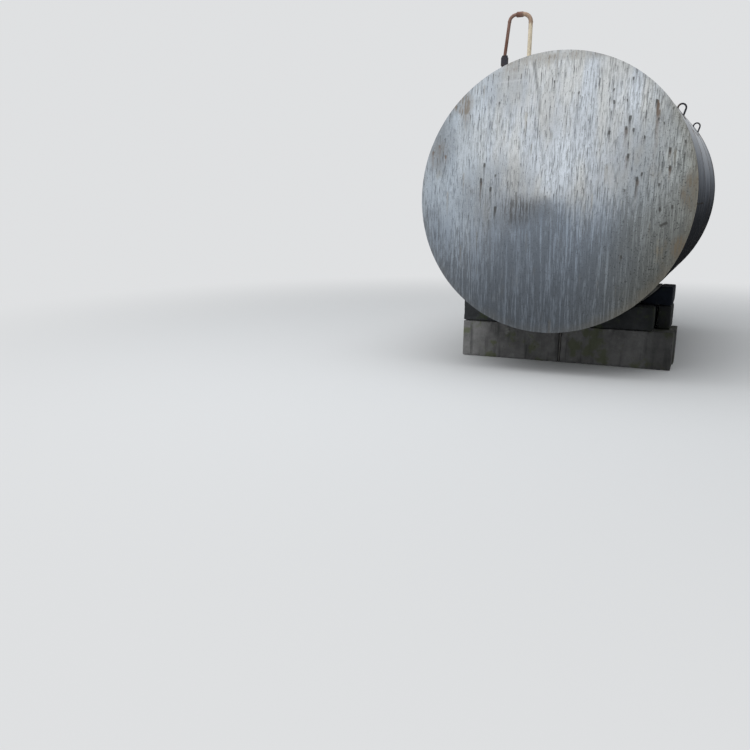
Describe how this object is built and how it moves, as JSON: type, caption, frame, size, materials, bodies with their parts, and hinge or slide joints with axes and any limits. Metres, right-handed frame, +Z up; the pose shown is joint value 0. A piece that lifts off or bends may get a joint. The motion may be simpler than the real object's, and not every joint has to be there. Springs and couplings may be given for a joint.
{
  "type": "horizontal storage tank",
  "caption": "Horizontal cylindrical steel storage tank with shallow conical ends, lifting lugs, a manhole and a breather pipe, lying on saddles of stacked concrete blocks.",
  "frame": {"origin": "on the ground, under the middle of the tank", "axes": "+X across the tank to its right as seen from the front end, +Y along the tank's axis from the front end to the rear, +Z up"},
  "size_m": [2.772, 4.6322, 3.687],
  "materials": {
    "shell_paint": "weathered aluminium paint, satin, streaked",
    "head_paint": "weathered aluminium paint, matt, with dark runs and rust",
    "dark_iron": "dark, dull",
    "rusty_steel": "rusted, matt",
    "cream_paint": "old cream paint with rust",
    "concrete": "damp mossy concrete",
    "mortar": "rough mortar"
  },
  "bodies": {
    "root": {"shell_course_1": "shell_paint", "shell_course_2": "shell_paint", "shell_course_3": "shell_paint", "girth_weld_1": "shell_paint", "girth_weld_2": "shell_paint", "manhole_neck": "shell_paint", "manhole_flange": "shell_paint", "front_head": "head_paint", "rear_head": "head_paint", "manhole_cover": "head_paint", "lug_front_right": "dark_iron", "lug_rear_right": "dark_iron", "lug_front_left": "dark_iron", "lug_rear_left": "dark_iron", "vent_valve": "dark_iron", "nozzle_pipe": "rusty_steel", "nozzle_flange": "rusty_steel", "vent_coupling": "rusty_steel", "vent_drop_pipe": "rusty_steel", "vent_nipple": "rusty_steel", "vent_riser": "cream_paint", "front_base_left": "concrete", "front_base_right": "concrete", "front_saddle_left": "concrete", "front_saddle_right": "concrete", "front_packing_block": "concrete", "front_top_block": "concrete", "rear_base_left": "concrete", "rear_base_right": "concrete", "rear_saddle_left": "concrete", "rear_saddle_right": "concrete", "rear_packing_block": "concrete", "rear_top_block": "concrete", "front_mortar": "mortar", "rear_mortar": "mortar"}
  },
  "joints": []
}
